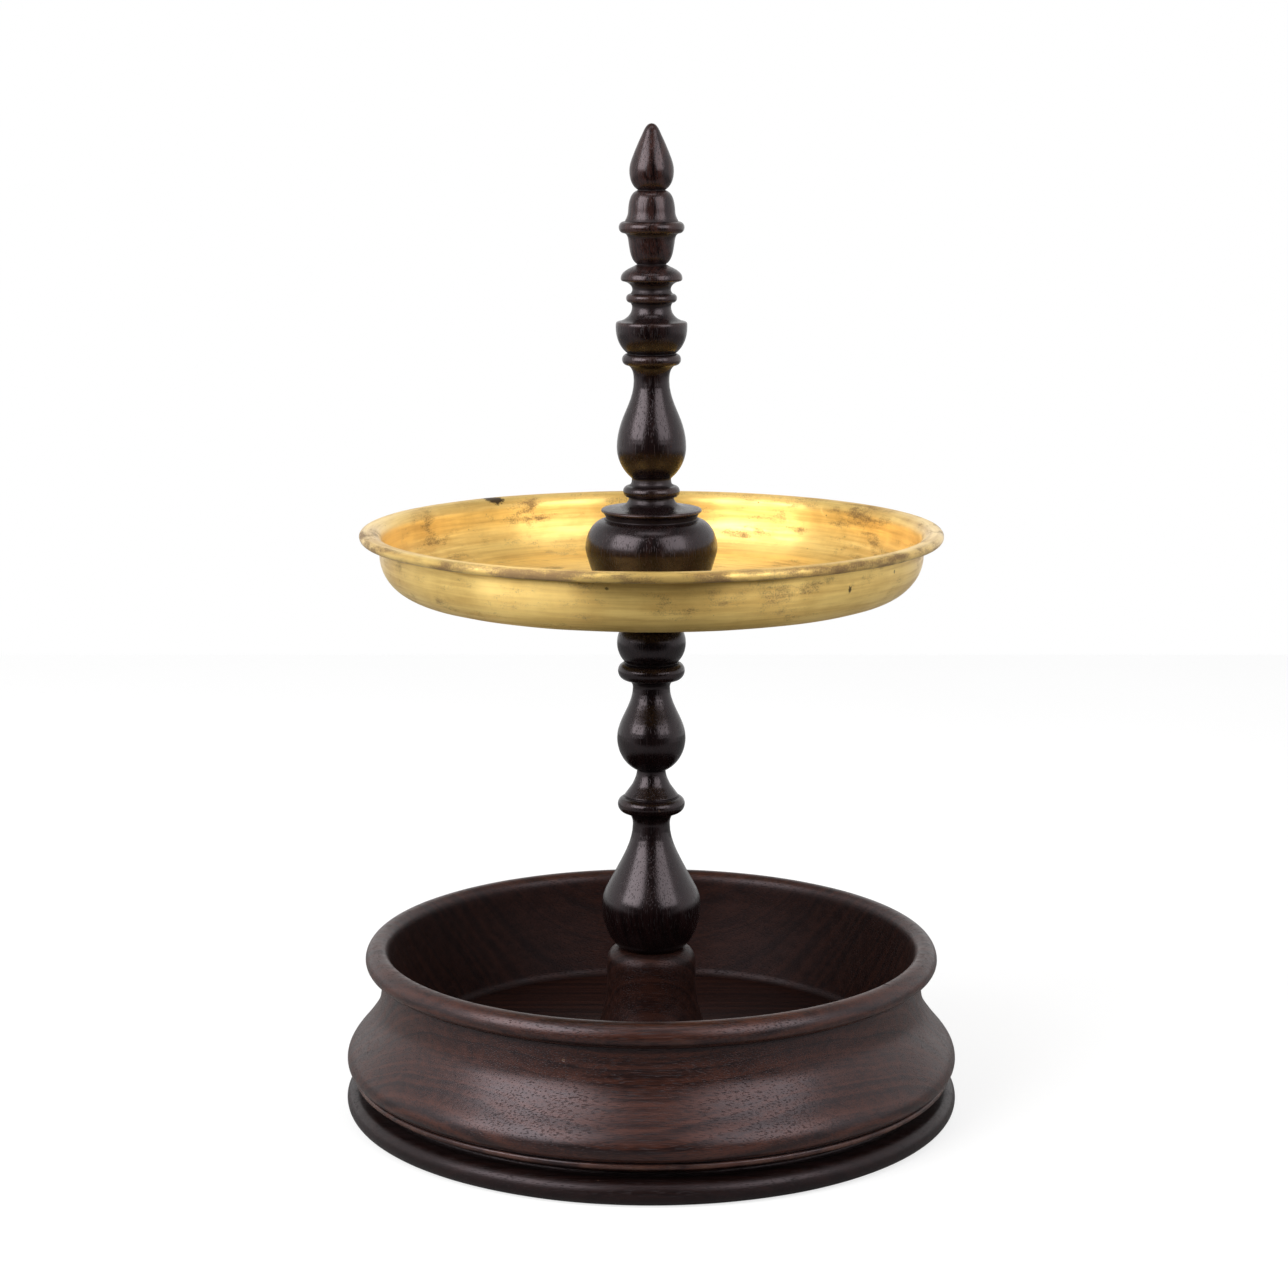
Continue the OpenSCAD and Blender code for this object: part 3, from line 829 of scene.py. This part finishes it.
def base_bolt():
    """A cap screw, head down: ringed head with a hexagon socket, plain shank, threaded end."""
    low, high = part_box("base_bolt")
    head_r, shank_r = high.x, 4.0 * MM
    head_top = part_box("base_washer")[0].z
    socket_r, socket_z, ease, point = 3.0 * MM, low.z + 4.0 * MM, 0.4 * MM, 0.9 * MM
    thread_from = high.z - 22 * MM
    rows = [(0.0, socket_z + 0.8 * MM), (socket_r * 0.96, socket_z, 0, 1),
            (socket_r, socket_z - ease, 0, 1), (socket_r, low.z + ease, 0, 1),
            (socket_r + ease, low.z, 0, 0.6), (head_r - 2 * ease, low.z),
            (head_r - ease * 0.6, low.z + ease * 0.6), (head_r, low.z + 2 * ease)]
    for i in range(KNURL_ROWS):
        z = low.z + 2 * ease + (head_top - low.z - 3 * ease) * (i + 0.5) / KNURL_ROWS
        rows.append((head_r - (KNURL_DEPTH if i % 2 else 0.0), z))
    rows += [(head_r - ease * 0.4, head_top - ease * 0.4), (head_r - ease, head_top),
             (shank_r + 2 * ease, head_top), (shank_r + 0.3 * ease, head_top + 0.3 * ease),
             (shank_r, head_top + ease), (shank_r, thread_from - 0.2 * MM)]
    rows += threaded(shank_r, thread_from, high.z - point)
    screw("cap_screw", "base_bolt", rows + [(shank_r - point, high.z), (0.0, high.z)], SCREW_STEEL)


def threaded_insert(name, node):
    """A brass insert: ribbed outside to hold the glue, threaded inside."""
    low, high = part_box(node)
    outer, inner, ease = high.x, 4.05 * MM, 0.35 * MM
    rows = [(inner + 0.8 * MM, low.z), (outer - ease, low.z), (outer, low.z + ease)]
    span = high.z - low.z - 2 * ease
    half = span / INSERT_RIBS / 2
    for i in range(INSERT_RIBS):
        z = low.z + ease + span * (i + 0.5) / INSERT_RIBS
        rows += [(outer, z - half * 0.5), (outer - 0.35 * MM, z - half * 0.2),
                 (outer - 0.35 * MM, z + half * 0.4), (outer, z + half * 0.7)]
    rows += [(outer, high.z - ease), (outer - ease, high.z), (inner + 0.8 * MM, high.z)]
    bore = threaded(inner, low.z + 0.8 * MM, high.z - 0.8 * MM)
    screw(name, node, rows + bore[::-1] + rows[:1], INSERT_BRASS, INSERT_THREAD_DEPTH)


def base_washer():
    """A wide washer with rounded rims."""
    outline = eased(frame_outline("base_washer"), 0.35 * MM, 1.0 * MM)
    turned_piece("wide_washer", "base_washer", outline, SCREW_STEEL, 96, 0.05 * MM, 8 * MM)


joint_stud()
base_bolt()
base_washer()
threaded_insert("insert_in_pillar_foot", "lower_base_insert")
threaded_insert("insert_in_pillar_seat", "lower_top_insert")
threaded_insert("insert_in_top_pillar", "upper_insert")


# ------------------------------------------------------------ table, light and air

TABLE_SIDE, TABLE_FRONT, TABLE_BACK = 1.4, -0.56, 1.2
TABLE_GREYS = (0.28, 0.28, 0.28, 1), (0.31, 0.31, 0.31, 1)
TABLE_GLOW = 0.70
SOFTBOXES = (
    # name, bearing, height, distance, width, tall, power
    ("left_softbox", -52, 1.22, 1.6, 1.5, 1.4, 44),
    ("right_softbox", 46, 1.22, 1.6, 1.3, 1.4, 24),
    ("top_softbox", 0, 2.1, 0.5, 1.2, 0.5, 5),
)
FRONT_LIGHT = 0.03
SIDE_LIGHT = 1.1
BACK_LIGHT = 0.9


def lay_table():
    """A pale table top, level with the face that the stand rests on. It glows to the eye only."""
    corners = [(-TABLE_SIDE, TABLE_FRONT), (TABLE_SIDE, TABLE_FRONT),
               (TABLE_SIDE, TABLE_BACK), (-TABLE_SIDE, TABLE_BACK)]
    mesh = bpy.data.meshes.new("pale_table")
    mesh.from_pydata([(x, y, cad_low[2]) for x, y in corners], [], [(0, 1, 2, 3)])
    material, bench, shader, place = new_finish("pale_table")
    bench.feed(shader.inputs["Base Color"], bench.mix(bench.noise(place, 3.0)[0], *TABLE_GREYS))
    shader.inputs["Roughness"].default_value = 0.7
    shader.inputs["Emission Color"].default_value = (1, 1, 1, 1)
    seen = bench.put("ShaderNodeLightPath").outputs["Is Camera Ray"]
    bench.feed(shader.inputs["Emission Strength"], bench.times(seen, TABLE_GLOW))
    mesh.materials.append(material)
    table = bpy.data.objects.new("pale_table", mesh)
    scene.collection.objects.link(table)


def hang_softbox(name, bearing, height, distance, width, tall, power):
    """A soft light at a bearing from the camera's side, aimed at the middle of the stand."""
    light = bpy.data.lights.new(name, "AREA")
    light.shape = "RECTANGLE"
    light.size = width
    light.size_y = tall
    light.energy = power
    box = bpy.data.objects.new(name, light)
    turn = math.radians(bearing)
    aim = Vector((0.0, 0.0, (cad_low[2] + cad_high[2]) / 2))
    box.location = (math.sin(turn) * distance, -math.cos(turn) * distance, height)
    box.rotation_euler = (aim - box.location).to_track_quat("-Z", "Y").to_euler()
    box.visible_camera = False
    scene.collection.objects.link(box)


def set_air():
    """White all round to the eye, and a studio to the light: pale at the sides and behind, dim in front."""
    world = bpy.data.worlds.new("white_studio")
    world.use_nodes = True
    world.node_tree.nodes.clear()
    bench = Bench(world.node_tree)
    x, y, z = bench.split(bench.put("ShaderNodeTexCoord").outputs["Generated"])
    bearing = bench.math("ARCTAN2", bench.math("ABSOLUTE", x), bench.times(y, -1.0))
    sides = bench.ramp(bearing, math.radians(40), math.radians(80), FRONT_LIGHT, SIDE_LIGHT)
    back = bench.ramp(bearing, math.radians(100), math.radians(150), SIDE_LIGHT, BACK_LIGHT)
    walls = bench.math("MINIMUM", sides, back)
    lit = bench.times(walls, bench.ramp(z, 0.45, 0.9, 1.0, 0.25))
    lit = bench.times(lit, bench.ramp(z, -0.35, -0.05, 0.3, 1.0))
    seen = bench.put("ShaderNodeLightPath").outputs["Is Camera Ray"]
    strength = bench.plus(seen, bench.times(lit, bench.minus(1.0, seen)))
    air = bench.put("ShaderNodeBackground", {"Color": (1, 1, 1, 1), "Strength": strength})
    bench.feed(bench.put("ShaderNodeOutputWorld").inputs["Surface"], air.outputs[0])
    scene.world = world
    scene.view_settings.view_transform = "Standard"


lay_table()
for row in SOFTBOXES:
    hang_softbox(*row)
set_air()
